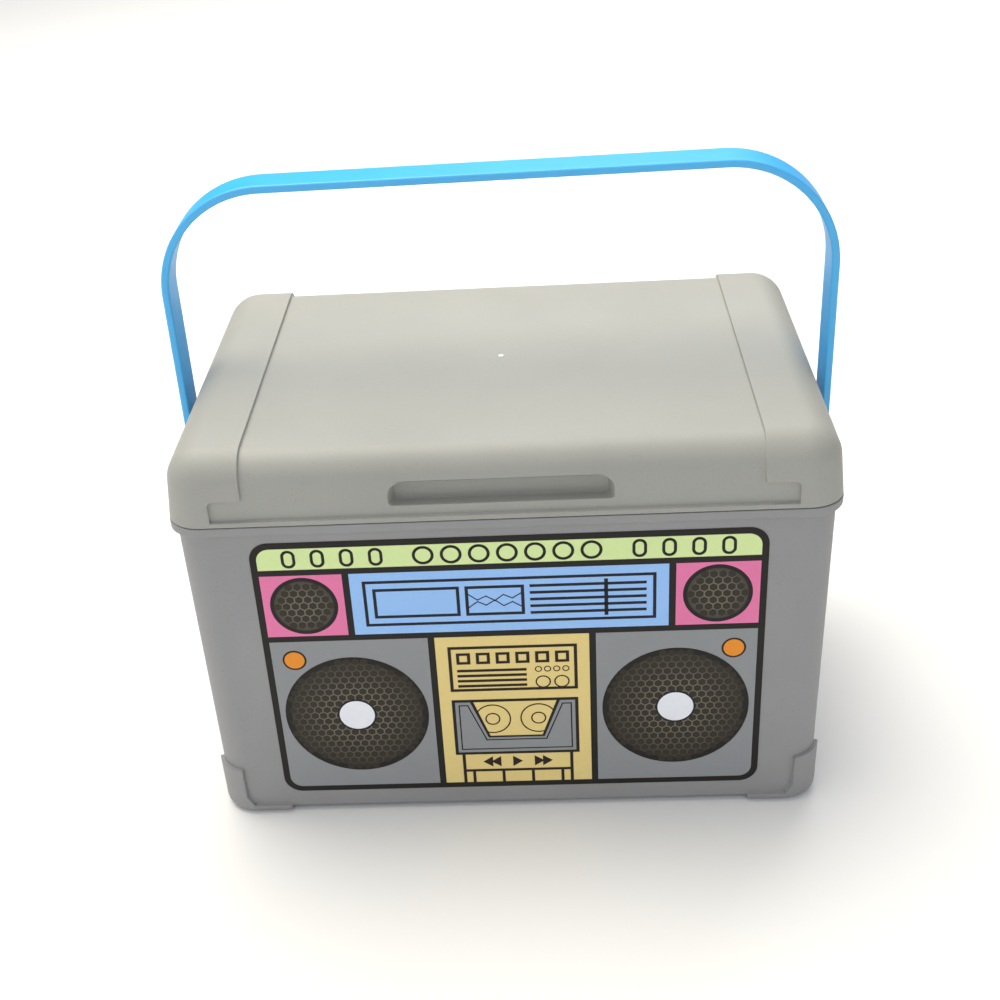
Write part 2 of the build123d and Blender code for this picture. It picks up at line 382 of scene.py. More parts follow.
def cut(point, direction, rule=None):
    """Cuts an edge line along a plane, through the whole open piece or only the faces of a rule."""
    if rule is None:
        bpy.ops.mesh.select_all(action="SELECT")
    else:
        pick("FACE", rule)
    bpy.ops.mesh.bisect(plane_co=point, plane_no=direction, threshold=1e-6)


def push(depth):
    """Pulls the selected faces out along their own directions, or pushes them in if depth is negative."""
    bpy.ops.mesh.extrude_region_shrink_fatten(
        TRANSFORM_OT_shrink_fatten={"value": depth, "use_even_offset": False}
    )


def round_edges(radius, steps):
    """Rounds the selected edges."""
    bpy.ops.mesh.bevel(offset=radius, segments=steps, affect="EDGES", clamp_overlap=False)


print("modelling tools ready")

# %% [markdown]
# A finished piece gets small rounded edges, because no moulding is truly sharp, and face-weighted
# normals, so that flat faces stay flat beside a rounding. Then it is given its finish and told which
# moving body it rides on.

# %% Finish a piece
def finish_piece(piece, body, finish, edge_radius=0.0, stands_for=(), edge_steps=2):
    """Softens the edges of a piece, gives it its finish, and makes it ride on a body."""
    if bpy.context.mode != "OBJECT":
        bpy.ops.object.mode_set(mode="OBJECT")
    bpy.ops.object.select_all(action="DESELECT")
    piece.select_set(True)
    bpy.context.view_layer.objects.active = piece
    bpy.ops.object.shade_smooth()
    if edge_radius:
        bevel = piece.modifiers.new("soft edges", "BEVEL")
        bevel.limit_method = "ANGLE"
        bevel.angle_limit = math.radians(38)
        bevel.width = edge_radius
        bevel.segments = edge_steps
        bevel.use_clamp_overlap = False
        bpy.ops.object.modifier_apply(modifier=bevel.name)
    weights = piece.modifiers.new("weights", "WEIGHTED_NORMAL")
    weights.weight = 80
    bpy.ops.object.modifier_apply(modifier=weights.name)
    piece.data.materials.clear()
    piece.data.materials.append(finish.material)
    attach(piece, body)
    if stands_for:
        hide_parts(*stands_for)
    faces = sum(len(face.vertices) - 2 for face in piece.data.polygons)
    print(piece.name, "has", faces, "triangles")
    return piece


def join_into(piece, extras):
    """Makes other objects part of a piece."""
    bpy.ops.object.select_all(action="DESELECT")
    for extra in extras:
        extra.select_set(True)
    piece.select_set(True)
    bpy.context.view_layer.objects.active = piece
    bpy.ops.object.join()
    return piece


# %% [markdown]
# ## The tub
# The tub is one moulding. Its walls lean in a little towards the bottom, so that it leaves the mould.
# We pull a rounded rectangle up into a block, round its bottom edge, raise the four corner guards, turn
# the rim flange out, and push the top face down to hollow it. A block that is grown in steps keeps
# clean four-sided faces all round the corners.

# %% Grow the tub's walls
WALL_TOP_W = HALF_W - 2.0 * MM
WALL_TOP_D = HALF_D - 2.0 * MM
WALL_LEAN = 1.5 * MM
TUB_CORNER = 12 * MM
BOTTOM_ROUNDING = 2.5 * MM
SOFT_EDGE = 0.3 * MM
UNDERSIDE = 1.5 * MM
FLANGE_LOW = RIM - 4.0 * MM
CORNER_STEPS = 16

tub = start_rounded_plate(
    "tub_shell", WALL_TOP_W - WALL_LEAN, WALL_TOP_D - WALL_LEAN, UNDERSIDE, TUB_CORNER, CORNER_STEPS
)
grow(WALL_TOP_W, WALL_TOP_D, FLANGE_LOW)
pick("EDGE", lambda middle, way: middle.z < UNDERSIDE + NEAR)
round_edges(BOTTOM_ROUNDING, 6)
print("walls up to", FLANGE_LOW)

# %% [markdown]
# The guards wrap the four bottom corners: a post up the corner and a low arm along each wall, joined by
# a rounded crook. Cut lines mark their outline on the walls, then the marked faces are pulled out.
# The crook is drawn with a few cuts that touch its circle.

# %% Mark out the corner guards
POST_X = WALL_TOP_W - 11 * MM
POST_Y = WALL_TOP_D - 11 * MM
ARM_X = WALL_TOP_W - 28 * MM
ARM_Y = WALL_TOP_D - 28 * MM
ARM_TOP = 4.0 * MM
POST_TOP = 22 * MM
CROOK = 6 * MM
CROOK_CUTS = 5

for height in (ARM_TOP, POST_TOP):
    cut((0, 0, height), (0, 0, 1))
for side in (-1, 1):
    for place in (POST_X, ARM_X):
        cut((side * place, 0, 0), (1, 0, 0), lambda middle, way: middle.z < POST_TOP)
    for place in (POST_Y, ARM_Y):
        cut((0, side * place, 0), (0, 1, 0), lambda middle, way: middle.z < POST_TOP)


def crook_cut(post, axis, side, turn):
    """Cuts one line that touches the crook's circle, on the two walls that run along an axis."""
    away, up = math.cos(turn), math.sin(turn)
    point, direction = Vector(), Vector((0, 0, -up))
    point[axis] = side * (post - CROOK + CROOK * away)
    point.z = ARM_TOP + CROOK - CROOK * up
    direction[axis] = side * away

    def beside_crook(middle, way):
        near = post - CROOK < side * middle[axis] < post and ARM_TOP < middle.z < POST_TOP
        return near and abs(way[1 - axis]) > 0.9

    cut(point, direction, beside_crook)


for step in range(CROOK_CUTS):
    for side in (-1, 1):
        for post, axis in ((POST_X, 0), (POST_Y, 1)):
            crook_cut(post, axis, side, math.radians(90 * (step + 0.5) / CROOK_CUTS))
print("guard outline cut")

# %% Pull the guards out and hollow the tub
def in_guard(middle, way):
    """Whether a face of the tub's outside lies inside a corner guard's outline."""
    x, y, z = abs(middle.x), abs(middle.y), middle.z
    if x > POST_X and y > POST_Y:
        return z < POST_TOP
    if x > ARM_X and y > ARM_Y and z < ARM_TOP:
        return True
    along = POST_X - x if y > POST_Y else POST_Y - y
    beside = min(x - ARM_X, y - ARM_Y) > 0 and 0 < along < CROOK and z < ARM_TOP + CROOK
    return beside and math.hypot(CROOK - along, ARM_TOP + CROOK - z) > CROOK * 0.985


GUARD_PROUD = 1.5 * MM
pick("FACE", in_guard)
push(GUARD_PROUD)
pick("FACE", lambda middle, way: way.z < -0.9 and middle.z < UNDERSIDE - GUARD_PROUD / 2)
bpy.ops.transform.translate(value=(0, 0, GUARD_PROUD - UNDERSIDE))

pick("FACE", lambda middle, way: middle.z > FLANGE_LOW - NEAR)
FLANGE_EDGE = 1.0 * MM
grow(HALF_W - FLANGE_EDGE, HALF_D - FLANGE_EDGE, FLANGE_LOW)
grow(HALF_W, HALF_D, FLANGE_LOW + FLANGE_EDGE)
grow(HALF_W, HALF_D, RIM)
WALL = 2.0 * MM
FLOOR_TOP = 4.0 * MM
bpy.ops.mesh.inset(thickness=HALF_W - WALL_TOP_W + WALL)
grow(WALL_TOP_W - WALL - WALL_LEAN, WALL_TOP_D - WALL - WALL_LEAN, FLOOR_TOP)
pick("EDGE", lambda middle, way: abs(middle.z - FLOOR_TOP) < TOUCHING and abs(way.z) < 0.1
     and abs(middle.x) < WALL_TOP_W - WALL and abs(middle.y) < WALL_TOP_D - WALL)
round_edges(BOTTOM_ROUNDING, 5)
bpy.ops.object.mode_set(mode="OBJECT")
print("tub has", len(tub.data.polygons), "faces")

# %% [markdown]
# Each end wall carries a round boss for the strap's pivot. It is a short cylinder with a rounded rim,
# joined into the wall.

# %% Add the pivot bosses and finish the tub
BOSS_RADIUS = 9.5 * MM
BOSS_ROOT = WALL_TOP_W - 1.2 * MM


def pivot_bar(radius, start, end):
    """A round bar along the pivot's line from one x to another, with its place in its own mesh."""
    bpy.ops.object.select_all(action="DESELECT")
    bpy.ops.mesh.primitive_cylinder_add(
        vertices=64,
        radius=radius,
        depth=abs(end - start),
        location=((start + end) / 2, 0, PIVOT),
        rotation=(0, math.radians(90), 0),
    )
    bpy.ops.object.transform_apply(location=True, rotation=True, scale=True)
    return bpy.context.object


join_into(tub, [pivot_bar(BOSS_RADIUS, side * BOSS_ROOT, side * BOSS_FACE) for side in (-1, 1)])
finish_piece(tub, "tub", tub_grey_painted_shade, SOFT_EDGE, ["tub"])

# %% [markdown]
# ## The lid
# The lid is a shallow rounded block. Its middle panel lies a little below the two end caps, and widens
# near the bottom into a foot on each side. We cut the panel's outline into the block and push those
# faces in, so that the step is one clean wall all the way over the lid.

# %% Grow the lid and push its panel in
LID_HEIGHT = LID_TOP - LID_BOTTOM
END_LEAN = LID_HEIGHT * math.tan(math.radians(5.5))
FACE_LEAN = LID_HEIGHT * math.tan(math.radians(1.0))
LID_ROUNDING = 11.5 * MM  # a little under the corner radius, so that the bevel never folds over
PANEL_X = 91 * MM
FOOT_X = 103 * MM
FOOT_TOP = LID_BOTTOM + 10.35 * MM
BEAD_TOP = LID_BOTTOM + 1.85 * MM
PANEL_DEPTH = 1.5 * MM
LID_CORNER = 13 * MM
FOOT_ROUNDING = 2 * MM

lid = start_rounded_plate("lid_shell", HALF_W, HALF_D, LID_BOTTOM, LID_CORNER, CORNER_STEPS)
grow(HALF_W - END_LEAN, HALF_D - FACE_LEAN, LID_TOP)
pick("EDGE", lambda middle, way: middle.z > LID_TOP - NEAR)
round_edges(LID_ROUNDING, 14)

for side in (-1, 1):
    cut((side * PANEL_X, 0, 0), (1, 0, 0))
    cut((side * FOOT_X, 0, 0), (1, 0, 0), lambda middle, way: abs(middle.x) > PANEL_X and abs(way.y) > 0.7)
cut((0, 0, BEAD_TOP), (0, 0, 1), lambda middle, way: abs(way.y) > 0.9)
cut((0, 0, FOOT_TOP), (0, 0, 1), lambda middle, way: abs(middle.x) > PANEL_X and abs(way.y) > 0.9)


def in_panel(middle, way):
    """Whether a face of the lid's outside lies inside the sunken panel's outline."""
    if middle.z < BEAD_TOP or way.z < -0.5:
        return False
    x = abs(middle.x)
    return x < PANEL_X or (x < FOOT_X and middle.z < FOOT_TOP and abs(way.y) > 0.9)


pick("FACE", in_panel)
push(-PANEL_DEPTH)
pick("EDGE", lambda middle, way: abs(abs(middle.x) - FOOT_X) < TOUCHING
     and abs(middle.z - FOOT_TOP) < NEAR and abs(way.y) > 0.9)
round_edges(FOOT_ROUNDING, 5)
print("panel pushed in by", PANEL_DEPTH)

# %% [markdown]
# The finger recess is cut the same way: mark its box on the front, push it in, narrow its back, and
# round its corners, wide ones above and small ones below.

# %% Sink the finger recess
RECESS_X = 39.5 * MM
RECESS_LOW = LID_BOTTOM + 5.85 * MM
RECESS_TOP = LID_TOP - LID_ROUNDING - 0.3 * MM
RECESS_DEPTH = 5.0 * MM
RECESS_NARROWING = 2 * MM
RECESS_TOP_ROUNDING = 5.5 * MM
RECESS_LOW_ROUNDING = 1.4 * MM


def on_front_panel(middle, way):
    """Whether a face belongs to the flat front of the sunken panel."""
    return way.y < -0.98 and abs(middle.x) < PANEL_X and middle.z > BEAD_TOP


for side in (-1, 1):
    cut((side * RECESS_X, 0, 0), (1, 0, 0), on_front_panel)
for height in (RECESS_LOW, RECESS_TOP):
    cut((0, 0, height), (0, 0, 1), on_front_panel)
picked = pick("FACE", lambda middle, way: on_front_panel(middle, way) and abs(middle.x) < RECESS_X
              and RECESS_LOW < middle.z < RECESS_TOP)
bpy.ops.mesh.extrude_region_move(TRANSFORM_OT_translate={"value": (0, RECESS_DEPTH, 0)})
bpy.ops.transform.resize(value=((RECESS_X - RECESS_NARROWING) / RECESS_X, 1, 1), center_override=(0, 0, 0))


def recess_corner(height):
    """A rule that accepts the two corner edges of the recess at a height."""
    return lambda middle, way: (
        abs(middle.z - height) < 0.2 * MM
        and abs(abs(middle.x) - RECESS_X + RECESS_NARROWING / 2) < 1 * MM
        and way.y * way.y > 0.5
        and middle.y < 0
    )


print("faces in the recess", picked, "corners", pick("EDGE", recess_corner(RECESS_TOP)))
round_edges(RECESS_TOP_ROUNDING, 8)
pick("EDGE", recess_corner(RECESS_LOW))
round_edges(RECESS_LOW_ROUNDING, 4)

# %% [markdown]
# Underneath, a lip drops into the tub and keeps the lid in place. From its inside the lid is hollow up
# to a wall's thickness below the top. A pad behind the recess keeps that wall whole.

# %% Hollow the lid from below
LIP_W = WALL_TOP_W - WALL - 0.4 * MM
LIP_D = WALL_TOP_D - WALL - 0.4 * MM
LIP_THICKNESS = 1.8 * MM
LIP_LOW = lid_low[2]
WEB_TOP = LID_BOTTOM + WALL
SHELL = PANEL_DEPTH + WALL
CEILING = LID_TOP - SHELL
PAD_X = RECESS_X + WALL
CEILING_ROUNDING = 6.5 * MM

pick("FACE", lambda middle, way: way.z < -0.9 and abs(middle.z - LID_BOTTOM) < TOUCHING)
bpy.ops.mesh.inset(thickness=HALF_W - LIP_W)
grow(LIP_W, LIP_D, LIP_LOW)
bpy.ops.mesh.inset(thickness=LIP_THICKNESS)
grow(LIP_W - LIP_THICKNESS, LIP_D - LIP_THICKNESS, WEB_TOP)
grow(HALF_W - SHELL, HALF_D - SHELL, WEB_TOP)
grow(HALF_W - SHELL - END_LEAN, HALF_D - SHELL - FACE_LEAN, CEILING)
pick("EDGE", lambda middle, way: abs(middle.z - CEILING) < TOUCHING
     and abs(middle.x) < HALF_W - 2 * SHELL / 3)
round_edges(CEILING_ROUNDING, 8)


def on_inner_front(middle, way):
    """Whether a face belongs to the inside of the front wall."""
    return way.y > 0.98 and middle.y < SHELL - HALF_D + FACE_LEAN and middle.z > WEB_TOP


for side in (-1, 1):
    cut((side * PAD_X, 0, 0), (1, 0, 0), on_inner_front)
pick("FACE", lambda middle, way: on_inner_front(middle, way) and abs(middle.x) < PAD_X)
bpy.ops.mesh.extrude_region_move(TRANSFORM_OT_translate={"value": (0, RECESS_DEPTH, 0)})
bpy.ops.object.mode_set(mode="OBJECT")
finish_piece(lid, "lid", lid_grey_painted_warm_light, SOFT_EDGE, ["lid"])

# %% [markdown]
# The plastic entered the mould through a gate over the middle of the lid. It leaves a small pale
# button there, where the sprue was twisted off. It lies on the sunken panel, below the two end caps.

# %% Add the gate mark
GATE_RADIUS = 1.1 * MM
GATE_HEIGHT = 0.3 * MM
gate_plastic = moulded_plastic("gate_pale", 235, 235, 230)
bpy.ops.object.select_all(action="DESELECT")
bpy.ops.mesh.primitive_cylinder_add(
    vertices=32,
    radius=GATE_RADIUS,
    depth=2 * GATE_HEIGHT,
    location=(0, 0, LID_TOP - PANEL_DEPTH),
)
gate_mark = bpy.context.object
gate_mark.name = "gate_mark"
bpy.ops.object.transform_apply(location=True, rotation=True, scale=True)
finish_piece(gate_mark, "lid", gate_plastic, GATE_HEIGHT / 3)

# %% [markdown]
# ## The strap
# The strap is a flat bar that goes up one side, bends over, crosses the top and comes down the other
# side. The right end of the top lies a little higher, as a soft strap leans. Each bend is an arc that
# touches both straight stretches, so a few lines of trigonometry give all its points. A small rectangle
# is then pulled along the curve step by step, and turned a little at each step.

# %% Draw the strap's curve
STRAP_THICKNESS = 3.0 * MM
STRAP_WIDTH = 2 * STRAP_HALF_WIDTH
EYE_RADIUS = strap_high[1]
SPAN = strap_high[0] - STRAP_THICKNESS / 2
CROWN_LEFT = 233 * MM
CROWN_RIGHT = 235 * MM
SHOULDER_RADIUS = 40 * MM
BEND_STEPS = 28


def bend(corner, arrive, leave):
    """Points round one bend of the strap, which would be a sharp corner at the given point."""
    turn = arrive.angle(leave)
    start = corner - arrive * SHOULDER_RADIUS * math.tan(turn / 2)
    inward = Vector((arrive.z, 0, -arrive.x))
    middle = start + inward * SHOULDER_RADIUS
    points = []
    for step in range(BEND_STEPS + 1):
        angle = turn * step / BEND_STEPS
        outward = arrive * math.sin(angle) - inward * math.cos(angle)
        points.append(middle + outward * SHOULDER_RADIUS)
    return points


left_corner = Vector((-SPAN, 0, CROWN_LEFT))
right_corner = Vector((SPAN, 0, CROWN_RIGHT))
up = Vector((0, 0, 1))
along = (right_corner - left_corner).normalized()
LEG_FOOT = PIVOT + 5 * MM
path = [Vector((-SPAN, 0, LEG_FOOT))] + bend(left_corner, up, along)
path += bend(right_corner, along, -up) + [Vector((SPAN, 0, LEG_FOOT))]
print("strap path has", len(path), "points and reaches", max(point.z for point in path))

# %% Pull the strap along its curve
bpy.ops.object.select_all(action="DESELECT")
bpy.ops.mesh.primitive_plane_add(size=1, location=(0, 0, 0), enter_editmode=True)
strap = bpy.context.object
strap.name = "strap"
bpy.ops.transform.resize(value=(STRAP_THICKNESS, STRAP_WIDTH, 1), center_override=(0, 0, 0))
bpy.ops.transform.translate(value=path[0])
heading = 0.0
for index in range(1, len(path)):
    step = path[index] - path[index - 1]
    ahead = path[min(index + 1, len(path) - 1)] - path[index - 1]
    new_heading = math.atan2(ahead.x, ahead.z)
    bpy.ops.mesh.extrude_region_move(TRANSFORM_OT_translate={"value": step})
    bpy.ops.transform.rotate(value=heading - new_heading, orient_axis="Y", center_override=path[index])
    heading = new_heading
bpy.ops.mesh.select_all(action="SELECT")
bpy.ops.mesh.normals_make_consistent(inside=False)
bpy.ops.object.mode_set(mode="OBJECT")
print("strap pulled along", len(path) - 1, "steps")

# %% [markdown]
# At each end the strap widens into a round eye, and the eye has a hole for its rivet. The eye is a
# short cylinder: its two flat ends are inset to the hole's size, then bridged to each other.

# %% Add the eyes and finish the strap
HOLE_RADIUS = 3.05 * MM
STRAP_ROUNDING = 0.8 * MM


def strap_eye(side):
    """A flat round eye with a hole, at one end of the strap."""
    eye = pivot_bar(EYE_RADIUS, side * SPAN - STRAP_THICKNESS / 2, side * SPAN + STRAP_THICKNESS / 2)
    bpy.ops.object.mode_set(mode="EDIT")
    ends = pick("FACE", lambda middle, way: abs(way.x) > 0.9)
    bpy.ops.mesh.inset(thickness=EYE_RADIUS - HOLE_RADIUS, use_individual=True)
    bpy.ops.mesh.bridge_edge_loops()
    bpy.ops.mesh.select_all(action="SELECT")
    bpy.ops.mesh.normals_make_consistent(inside=False)
    bpy.ops.object.mode_set(mode="OBJECT")
    print("eye made from", ends, "flat ends")
    return eye


join_into(strap, [strap_eye(-1), strap_eye(1)])
finish_piece(strap, "handle", strap_blue, STRAP_ROUNDING, ["strap_handle"], 4)

# %% [markdown]
# ## Pivot rivets
# Each eye turns on a snap rivet: a domed head outside, a plain shank through the boss, and a barb
# inside the wall. It is a cylinder for the shank, whose outer end is grown into the head and whose
# inner end is grown into the barb.

# %% Model one rivet and copy it
SHANK_RADIUS = 3.0 * MM
HEAD_RADIUS = 6.2 * MM
HEAD_THICKNESS = 2.2 * MM
BARB_RADIUS = 3.8 * MM
BARB_LENGTH = 3.4 * MM
BARB_NARROWING = 0.6
RIVET_EDGE = 0.2 * MM
HEAD_START = rivet_high[0] - HEAD_THICKNESS
BARB_START = rivet_low[0] + BARB_LENGTH


def widen(factor):
    """Scales the selected face about the rivet's own line."""
    bpy.ops.transform.resize(value=(1, factor, factor), center_override=(0, 0, PIVOT))


def lengthen(distance):
    """Pulls the selected face along the rivet's line."""
    bpy.ops.mesh.extrude_region_move(TRANSFORM_OT_translate={"value": (distance, 0, 0)})


rivet = pivot_bar(SHANK_RADIUS, BARB_START, HEAD_START)
rivet.name = "rivet_right"
bpy.ops.object.mode_set(mode="EDIT")
pick("FACE", lambda middle, way: way.x > 0.9)
lengthen(0)
widen(HEAD_RADIUS / SHANK_RADIUS)
lengthen(HEAD_THICKNESS * 0.45)
for lift, narrow in ((0.25, 0.95), (0.16, 0.87), (0.10, 0.72), (0.04, 0.4)):
    lengthen(HEAD_THICKNESS * lift)
    widen(narrow)
pick("FACE", lambda middle, way: way.x < -0.9 and middle.x < BARB_START + NEAR)
lengthen(0)
widen(BARB_RADIUS / SHANK_RADIUS)
lengthen(-BARB_LENGTH)
widen(BARB_NARROWING)
bpy.ops.object.mode_set(mode="OBJECT")

bpy.ops.object.duplicate()
rivet_left = bpy.context.object
rivet_left.name = "rivet_left"
rivet_left.data.name = "rivet_left"
bpy.ops.object.mode_set(mode="EDIT")
bpy.ops.mesh.select_all(action="SELECT")
bpy.ops.transform.resize(value=(-1, 1, 1), center_override=(0, 0, 0))
bpy.ops.mesh.normals_make_consistent(inside=False)
bpy.ops.object.mode_set(mode="OBJECT")
finish_piece(rivet, "tub", strap_blue, RIVET_EDGE, ["right_pivot_rivet"])
finish_piece(rivet_left, "tub", strap_blue, RIVET_EDGE, ["left_pivot_rivet"])

# %% [markdown]
# ## The printed label
# The picture is crisp: flat colours inside dark outlines. We cut it from thin sheets, as a sign maker
# would, one sheet on another. Everything is laid out flat first, in millimetres from the label's top
# left corner, then stood up against the leaning wall in one move.

# %% Tools for cutting sheets
LABEL_W = (label_high[0] - label_low[0]) / MM
LABEL_H = 0.63 * LABEL_W
MIDDLE = LABEL_W / 2
FILM = 0.2 * MM
SHEET = 0.03 * MM
LABEL_LEAN = math.asin((label_high[1] - label_low[1] - FILM) / (LABEL_H * MM))
label_middle = (Vector(label_low) + Vector(label_high)) / 2


def flat(x, y):
    """A point of the label, in millimetres right and down from its top left corner, on the bench."""
    return ((x - LABEL_W / 2) * MM, (LABEL_H / 2 - y) * MM, 0)


def open_sheet(name):
    """Starts an empty sheet on the bench and leaves it open for cutting."""
    bpy.ops.object.select_all(action="DESELECT")
    bpy.ops.mesh.primitive_plane_add(size=1, enter_editmode=True)
    bpy.context.object.name = name
    bpy.ops.mesh.select_mode(type="FACE")
    bpy.ops.mesh.delete(type="VERT")


def patch(left, top, right, bottom, line=0):
    """A rectangle, or only its outline if a line width is given."""
    bpy.ops.mesh.select_all(action="DESELECT")
    middle = flat((left + right) / 2, (top + bottom) / 2)
    bpy.ops.mesh.primitive_plane_add(size=1, location=middle)
    size = ((right - left) * MM, (bottom - top) * MM, 1)
    bpy.ops.transform.resize(value=size, center_override=middle)
    keep_outline(line)


def dot(x, y, radius, line=0, corners=64):
    """A disc, or only its ring if a line width is given."""
    bpy.ops.mesh.select_all(action="DESELECT")
    bpy.ops.mesh.primitive_circle_add(
        vertices=corners, radius=radius * MM, fill_type="NGON", location=flat(x, y)
    )
    keep_outline(line)


def keep_outline(line):
    """Leaves only a line's width round the selected shape."""
    if line:
        bpy.ops.mesh.inset(thickness=line * MM)
        bpy.ops.mesh.delete(type="FACE")


def stroke(x0, y0, x1, y1, line):
    """A straight line from one point to another."""
    bpy.ops.mesh.select_all(action="DESELECT")
    middle = flat((x0 + x1) / 2, (y0 + y1) / 2)
    length = math.hypot(x1 - x0, y1 - y0) + line
    bpy.ops.mesh.primitive_plane_add(size=1, location=middle)
    bpy.ops.transform.resize(value=(length * MM, line * MM, 1), center_override=middle)
    bpy.ops.transform.rotate(value=math.atan2(y1 - y0, x1 - x0), orient_axis="Z", center_override=middle)


def trapezium(half_top, half_bottom, top, bottom):
    """A patch about the label's middle line, whose top and bottom edges have their own half widths."""
    patch(MIDDLE - half_top, top, MIDDLE + half_top, bottom)
    mesh = bmesh.from_edit_mesh(bpy.context.object.data)
    corners = [vert for vert in mesh.verts if vert.select]
    foot = min(vert.co.y for vert in corners)
    bpy.ops.mesh.select_mode(type="VERT")
    for vert in corners:
        vert.select_set(vert.co.y < foot + TOUCHING)
    mesh.select_flush_mode()
    bpy.ops.transform.resize(value=(half_bottom / half_top, 1, 1), center_override=flat(MIDDLE, bottom))
    bpy.ops.mesh.select_mode(type="FACE")


def mirrored(x):
    """The same distance from the label's right side as x is from its left."""
    return LABEL_W - x


def close_sheet(level, ink):
    """Gives the open sheet its thickness, stands it up on the label at a level, and prints it."""
    bpy.ops.mesh.select_all(action="SELECT")
    bpy.ops.mesh.extrude_region_move(TRANSFORM_OT_translate={"value": (0, 0, SHEET)})
    bpy.ops.mesh.select_all(action="SELECT")
    bpy.ops.mesh.normals_make_consistent(inside=False)
    return stand_up(FILM + (level - 1) * SHEET, ink)


def stand_up(height, ink, stands_for=()):
    """Moves the open flat shape from the bench onto the leaning wall and finishes it."""
    bpy.ops.mesh.select_all(action="SELECT")
    bpy.ops.transform.translate(value=(label_middle.x, 0, height))
    bpy.ops.transform.rotate(value=-(math.pi / 2 + LABEL_LEAN), orient_axis="X", center_override=(0, 0, 0))
    bpy.ops.transform.translate(value=(0, label_back, label_middle.z))
    bpy.ops.object.mode_set(mode="OBJECT")
    piece = bpy.context.object
    return finish_piece(piece, "tub", ink, 0.0, stands_for)


def both_sides(left, top, right, bottom):
    """A rectangle, and its mirror image on the label's other half."""
    patch(left, top, right, bottom)
    patch(mirrored(right), top, mirrored(left), bottom)


def centred_sheet(name, left, top, bottom, level, ink):
    """A sheet with one rectangle, which ends as far from the label's right side as from its left."""
    open_sheet(name)
    patch(left, top, mirrored(left), bottom)
    close_sheet(level, ink)


label_back = (label_low[1] + label_high[1] + FILM) / 2
print("label leans", math.degrees(LABEL_LEAN), "degrees")

# %% [markdown]
# The film itself is printed near-black, and shows as the border and as the bars between the fields.
# The coloured fields lie on it, the same on the left as on the right. A band runs along the top, a row
# of three fields lies below it, and a row of three taller ones below that. So the border, the bars and
# four sizes give every field. Those at the label's corners follow its rounding.

# %% Lay the film and the coloured fields
BORDER = 2.5
BAR = 2.5
BAND_HEIGHT = 9.0
UPPER_HEIGHT = 27.0
UPPER_SIDE = 30.0
LOWER_SIDE = 59.0
FIELD_CORNER = 4.8
FILM_CORNER = 7.0 * MM

RIGHT = mirrored(BORDER)
BAND_LOW = BORDER + BAND_HEIGHT
UPPER_TOP = BAND_LOW + BAR
UPPER_LOW = UPPER_TOP + UPPER_HEIGHT
LOWER_TOP = UPPER_LOW + BAR
LOWER_LOW = LABEL_H - BORDER
PINK_END = BORDER + UPPER_SIDE
GREY_END = BORDER + LOWER_SIDE
TUNER_LEFT = PINK_END + BAR
DECK_LEFT = GREY_END + BAR


def round_corner(x, y, radius=FIELD_CORNER):
    """Rounds the one corner of the open sheet that lies at a point."""
    bpy.ops.mesh.select_all(action="DESELECT")
    bpy.ops.mesh.select_mode(type="VERT")
    mesh = bmesh.from_edit_mesh(bpy.context.object.data)
    spot = Vector(flat(x, y))
    min(mesh.verts, key=lambda vert: (vert.co - spot).length).select_set(True)
    bpy.ops.mesh.bevel(offset=radius * MM, segments=8, affect="VERTICES")
    bpy.ops.mesh.select_mode(type="FACE")


start_rounded_plate("label_film", LABEL_W / 2 * MM, LABEL_H / 2 * MM, 0, FILM_CORNER, 10)
bpy.ops.mesh.extrude_region_move(TRANSFORM_OT_translate={"value": (0, 0, FILM)})
stand_up(0, ink_black, ["front_label"])

open_sheet("green_band")
patch(BORDER, BORDER, RIGHT, BAND_LOW)
round_corner(BORDER, BORDER)
round_corner(RIGHT, BORDER)
close_sheet(1, ink_green)

open_sheet("pink_fields")
both_sides(BORDER, UPPER_TOP, PINK_END, UPPER_LOW)
close_sheet(1, ink_pink)

centred_sheet("tuner_field", TUNER_LEFT, UPPER_TOP, UPPER_LOW, 1, ink_blue)

open_sheet("speaker_fields")
both_sides(BORDER, LOWER_TOP, GREY_END, LOWER_LOW)
round_corner(BORDER, LOWER_LOW)
round_corner(RIGHT, LOWER_LOW)
close_sheet(1, ink_grey)

centred_sheet("deck_field", DECK_LEFT, LOWER_TOP, LOWER_LOW, 1, ink_yellow)

# %% [markdown]
# Along the green band runs a row of rings, with four upright ovals at each side. An oval is two half
# rings with straight sides, so it is cut as a tall patch whose corners are rounded right up.

# %% Cut the band's rings and ovals
BAND_MIDDLE = BORDER + BAND_HEIGHT / 2
OVAL_W, OVAL_H = 5.2, 7.6
RING_LINE = 1.1
RING_RADIUS = 3.9
OVAL_PITCH = 10.5
RING_PITCH = 10.0
FIRST_OVAL = 14.0


def oval(x):
    """An upright oval ring in the band."""
    patch(x - OVAL_W / 2, BAND_MIDDLE - OVAL_H / 2, x + OVAL_W / 2, BAND_MIDDLE + OVAL_H / 2)
    bpy.ops.mesh.select_mode(type="VERT")
    bpy.ops.mesh.bevel(offset=OVAL_W / 2 * 0.98 * MM, segments=10, affect="VERTICES")
    bpy.ops.mesh.select_mode(type="FACE")
    keep_outline(RING_LINE)


open_sheet("band_rings")
for number in range(4):
    place = FIRST_OVAL + OVAL_PITCH * number
    oval(place)
    oval(mirrored(place))
for number in range(-3, 4):
    dot(MIDDLE + RING_PITCH * number, BAND_MIDDLE, RING_RADIUS, RING_LINE)
close_sheet(2, ink_black)

# %% [markdown]
# The tuner is a framed strip: an empty window, a window with two jagged traces, and a scale of bars
# with its needle. Each trace is a zigzag from a loop, and the second is the first upside down.

